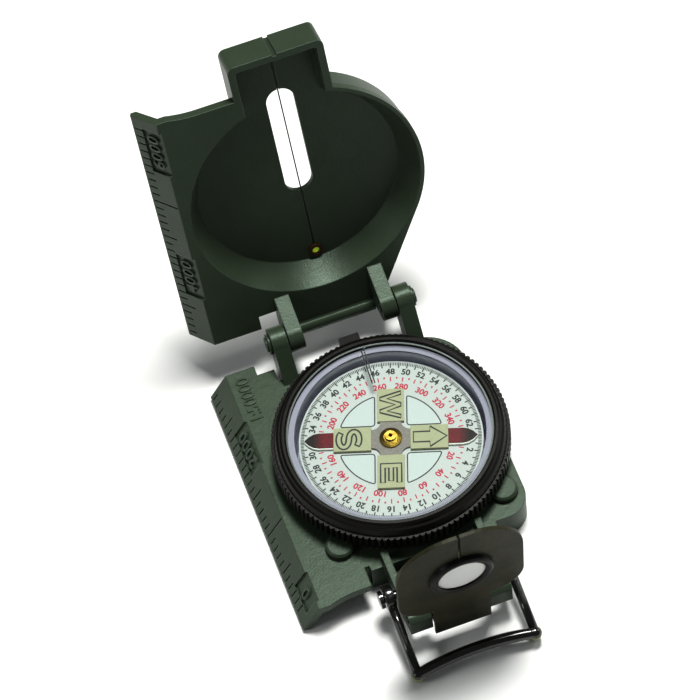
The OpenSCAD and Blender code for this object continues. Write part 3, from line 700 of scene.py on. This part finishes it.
def pad_numerals(bm, numerals, plate, plate_top):
    """Numerals standing up from the sunk pads on a ruler's bevel, their feet towards the plate."""
    up = BEVEL_LENGTH - PAD_HEIGHT / 2 + PAD_SHIFT
    for text, along in numerals:
        bevel = (plate @ Matrix.Translation((RULER_EDGE_X, along, plate_top - RULER_EDGE_DROP))
                 @ Matrix.Rotation(-BEVEL_ANGLE, 4, "Y"))
        lettering(bm, text, NUMERAL_H, bevel @ Matrix.Translation((up, 0, -PAD_DEPTH)) @ QUARTER_TURN,
                  NUMERAL_T, NUMERAL_SWELL)


def base_figures(bm):
    pad_numerals(bm, BASE_NUMERALS, Matrix.Identity(4), BASE_TOP)


def cover_figures(bm):
    """The cover's numerals, at distances from the hinge along its slope."""
    cover = Matrix.Translation((0, HINGE_Y, HINGE_Z)) @ Matrix.Rotation(COVER_SLOPE, 4, "X")
    pad_numerals(bm, COVER_NUMERALS, cover, BASE_TOP - HINGE_Z + FOLD_GAP)


def scale_figures(bm):
    """The map ratio raised on the base plate beside the hinge."""
    place = Matrix.Translation((*RATIO_AT, BASE_TOP)) @ QUARTER_TURN
    lettering(bm, RATIO_TEXT, RATIO_H, place, RATIO_T, RATIO_SWELL, RATIO_STRETCH)


# ---- Thumb loop ----

LOOP_Y = 34.5
LOOP_Z = 8.0
LOOP_DROOP = math.radians(15.0)
LOOP_LENGTH = 18.0
LOOP_HALF = 13.4
LOOP_BOW = 1.3
EYE_R = 2.7
EYE_HALF_T = 1.1
STUD_R = 1.05
WIRE_R = 1.0
BAR_R = 1.3
BAR_TAPER = 0.12
FOOT_DROP = 3.2
LOOP_PLACE = Matrix.Translation((0, -LOOP_Y, LOOP_Z)) @ Matrix.Rotation(LOOP_DROOP, 4, "X")


def tube(bm, path, radii, sides=20):
    """Adds a round tube along a path, with its own radius at each point and closed ends."""
    points = [Vector(p) for p in path]
    rings = []
    normal = None
    for i, point in enumerate(points):
        along = (points[min(i + 1, len(points) - 1)] - points[max(i - 1, 0)]).normalized()
        if normal is None:
            normal = along.orthogonal().normalized()
        normal = (normal - along * normal.dot(along)).normalized()
        across = along.cross(normal)
        rings.append([bm.verts.new(point + radii[i] * (math.cos(a) * normal + math.sin(a) * across))
                      for a in (2 * math.pi * k / sides for k in range(sides))])
    for here, there in zip(rings, rings[1:]):
        for k in range(sides):
            m = (k + 1) % sides
            bm.faces.new((here[k], here[m], there[m], there[k]))
    bm.faces.new(rings[0][::-1])
    bm.faces.new(rings[-1])


def lathe(bm, profile, place, sides=96):
    """Adds a closed turned ring from (radius, height) points."""
    rings = []
    for k in range(sides):
        a = 2 * math.pi * k / sides
        rings.append([bm.verts.new(place @ Vector((r * math.cos(a), r * math.sin(a), z)))
                      for r, z in profile])
    count = len(profile)
    for k in range(sides):
        here, there = rings[k], rings[(k + 1) % sides]
        for i in range(count):
            j = (i + 1) % count
            bm.faces.new((here[i], here[j], there[j], there[i]))


def foot_part(bm, x, profile):
    """Adds a stretch of one foot, at the loop's corner, from (height, radius) points."""
    tube(bm, [LOOP_PLACE @ Vector((x, -LOOP_LENGTH, z)) for z, _ in profile], [r for _, r in profile])


def bent_wire(bm):
    """The thumb loop: two eyes, two straight arms, the tops of its feet and a bowed grip."""
    half_t = EYE_HALF_T
    eye_profile = [
        (STUD_R, -half_t), (STUD_R, half_t), (EYE_R - 0.35, half_t), (EYE_R - 0.08, half_t - 0.12),
        (EYE_R, half_t - 0.4), (EYE_R, 0.4 - half_t), (EYE_R - 0.08, 0.12 - half_t), (EYE_R - 0.35, -half_t)]
    arm_stops = (EYE_R - 0.5, 6.0, 11.0, LOOP_LENGTH - 0.4)
    for x in (-LOOP_HALF, LOOP_HALF):
        eye = LOOP_PLACE @ Matrix.Translation((x, 0, 0)) @ Matrix.Rotation(math.pi / 2, 4, "Y")
        lathe(bm, eye_profile, eye, 40)
        tube(bm, [LOOP_PLACE @ Vector((x, -y, 0)) for y in arm_stops], [WIRE_R] * len(arm_stops))
        foot_part(bm, x, [(1.25, 0.25), (1.1, 0.75), (0.75, 1.15), (0.3, 1.3), (-0.4, 1.3)])
    steps = 28
    bar = []
    radii = []
    for i in range(steps + 1):
        t = 2 * i / steps - 1
        bar.append(LOOP_PLACE @ Vector((t * LOOP_HALF, -LOOP_LENGTH + LOOP_BOW * (1 - t * t), 0)))
        radii.append(BAR_R - BAR_TAPER * t ** 4)
    tube(bm, bar, radii)


def foot_tips(bm):
    """The bare lower ends of the loop's two feet, where the enamel has worn off."""
    tip = [(0.35, 1.1), (0.3, 1.42), (-0.6, 1.44), (-1.8, 1.42), (-2.6, 1.2),
           (-FOOT_DROP + 0.15, 0.9), (-FOOT_DROP + 0.02, 0.5)]
    for x in (-LOOP_HALF, LOOP_HALF):
        foot_part(bm, x, tip)


def bend_loop(wire_black):
    loop = piece("bent_wire_loop", bent_wire, wire_black, "loop")
    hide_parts("thumb_loop")
    tips = piece("foot_tips", foot_tips, bare_tip(), "loop")
    for obj in (loop, tips):
        for face in obj.data.polygons:
            face.use_smooth = True


# ---- Glass details ----

GLASS_LOW, GLASS_TOP = (corner[2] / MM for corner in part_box("bezel_glass"))
RIM_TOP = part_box("capsule_cup")[1][2] / MM
GLASS_R = 22.8
LINER_R = 22.36
RING_SIDES = 144


def glass_rim(bm):
    """The frosted chamfer round the glass's edge, inside the bezel's lip."""
    profile = ((-0.45, -0.55), (-0.04, -0.55), (-0.04, -0.5), (-0.42, -0.08), (-0.52, -0.08))
    lathe(bm, [(GLASS_R + r, GLASS_TOP + z) for r, z in profile], Matrix.Identity(4), RING_SIDES)


def retaining_ring(bm):
    """The pale flat ring that holds the crystal down on the capsule's rim."""
    low, high = RIM_TOP + 0.04, GLASS_LOW - 0.16
    lathe(bm, [(LINER_R - 1.3, low + 0.18), (LINER_R - 0.4, low), (LINER_R, low), (LINER_R, high),
               (LINER_R - 1.1, high), (LINER_R - 1.3, high - 0.05)], Matrix.Identity(4), RING_SIDES)


# ---- Stage ----

def floor_and_lights():
    bm = bmesh.new()
    bmesh.ops.create_grid(bm, x_segments=8, y_segments=8, size=FLOOR_HALF)
    mesh = bpy.data.meshes.new("floor")
    bm.to_mesh(mesh)
    bm.free()
    floor = bpy.data.objects.new("floor", mesh)
    bpy.context.scene.collection.objects.link(floor)
    f = Finish("floor_paper")
    soft = f.noise(0.02, 2.0)
    paper = f.blend(soft, (0.86, 0.86, 0.855), (0.88, 0.88, 0.875))
    mesh.materials.append(f.surface(base_color=paper, roughness=0.8))

    for name, at, size, watts, tint in (
            ("key", (0.16, 0.22, 0.97), 0.26, 12.5, (1.0, 1.0, 0.97)),
            ("side", (0.85, 0.15, 0.55), 0.25, 1.6, (0.95, 1.0, 0.97)),
            ("left", (-0.85, -0.10, 0.55), 0.25, 1.6, (0.97, 1.0, 0.98))):
        lamp = bpy.data.lights.new(name, "AREA")
        lamp.size = size
        lamp.energy = watts
        lamp.color = tint
        holder = bpy.data.objects.new(name, lamp)
        holder.location = at
        holder.rotation_euler = (-Vector(at)).to_track_quat("-Z", "Y").to_euler()
        bpy.context.scene.collection.objects.link(holder)

    world = bpy.data.worlds.new("soft_room")
    world.use_nodes = True
    background = world.node_tree.nodes["Background"]
    background.inputs["Color"].default_value = ROOM_COLOR
    background.inputs["Strength"].default_value = ROOM_STRENGTH
    bpy.context.scene.world = world
    bpy.context.scene.view_settings.view_transform = "Standard"
    bpy.context.scene.view_settings.gamma = VIEW_GAMMA


def set_camera():
    lens = bpy.data.cameras.new("camera")
    lens.lens = CAMERA_LENS
    lens.sensor_width = SENSOR
    lens.clip_start = 0.05
    lens.clip_end = 20.0
    camera = bpy.data.objects.new("camera", lens)
    turn = (Matrix.Rotation(-CAMERA_HEADING, 4, "Z") @ Matrix.Rotation(math.pi / 2 - CAMERA_DROP, 4, "X")
            @ Matrix.Rotation(-CAMERA_ROLL, 4, "Z"))
    camera.matrix_world = Matrix.Translation(CAMERA_AT) @ turn
    bpy.context.scene.collection.objects.link(camera)
    bpy.context.scene.camera = camera


# ---- Assembly ----

def dress_frame(green, wire_black):
    """Gives every frame node its finish."""
    bezel = bezel_black()
    dark = blackened_steel()
    glass = clear_glass()
    gold = brass()
    steel = spring_steel()
    finishes = {
        "base_casting": green, "cover_casting": green, "back_plate": green,
        "hinge_pin_left": green, "hinge_pin_right": green,
        "thumb_loop": wire_black, "loop_stud_left": wire_black, "loop_stud_right": wire_black,
        "back_plate_screws": dark, "sight_pin": dark, "sighting_wire": dark, "wire_plug": dark,
        "sight_plate": sight_olive(), "lens_ring": bezel,
        # The sight lens is mostly milky white: painted light standing in for the bright floor seen through a
        # clear lens.
        "sight_lens": hazy_clear("lens_glass_painted_light", (0.98, 0.99, 0.98), 0.80),
        "luminous_dot": lume_green(), "dot_ring": dark_brown(),
        "bezel_ring": bezel, "bezel_glass": glass, "bezel_snap_ring": steel,
        "bezel_marker": ink("marker_black", (0.012, 0.012, 0.012), (0.04, 0.04, 0.04)),
        "capsule_cup": capsule_metal(), "capsule_crystal": glass, "crystal_seal": pale_seal(),
        "pivot_post": gold, "jewel_cap": gold, "jewel_bearing": jewel_red(), "dial_magnet": steel,
        "dial_card": dial_white(), "needle_bar": needle_red(), "luminous_plates": lume_pale(),
        "centre_plate": smoked_clear()}
    for name, finish in finishes.items():
        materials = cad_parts[name].data.materials
        materials.clear()
        materials.append(finish)


def print_dial():
    black = ink("print_black", (0.010, 0.010, 0.011), (0.05, 0.05, 0.05))
    red = ink("print_red", (0.52, 0.010, 0.055), (0.60, 0.04, 0.10))
    piece("mil_scale", mil_scale, black, "dial")
    piece("degree_scale", degree_scale, red, "dial")
    piece("window_lines", window_lines, black, "dial")
    white = ink("window_white", (0.58, 0.63, 0.63), (0.64, 0.68, 0.68))
    piece("window_fills", window_fills, white, "dial")
    piece("plate_letters", plate_letters, black, "dial")
    bright = ink("needle_edge", (0.80, 0.80, 0.74), (0.9, 0.9, 0.85))
    piece("needle_edge", needle_edge, bright, "dial")


def raise_figures(green):
    piece("base_figures", base_figures, green, "base")
    piece("cover_figures", cover_figures, green, "cover")
    piece("scale_figures", scale_figures, green, "base")


def add_rings():
    frosted = hazy_clear("frosted_rim", (0.60, 0.66, 0.64), 0.25)
    piece("glass_rim", glass_rim, frosted, "bezel")
    piece("retaining_ring", retaining_ring, ring_lavender(), "base")


set_camera()
floor_and_lights()
enamel = green_enamel()
wire_finish = loop_black()
dress_frame(enamel, wire_finish)
print_dial()
raise_figures(enamel)
bend_loop(wire_finish)
add_rings()
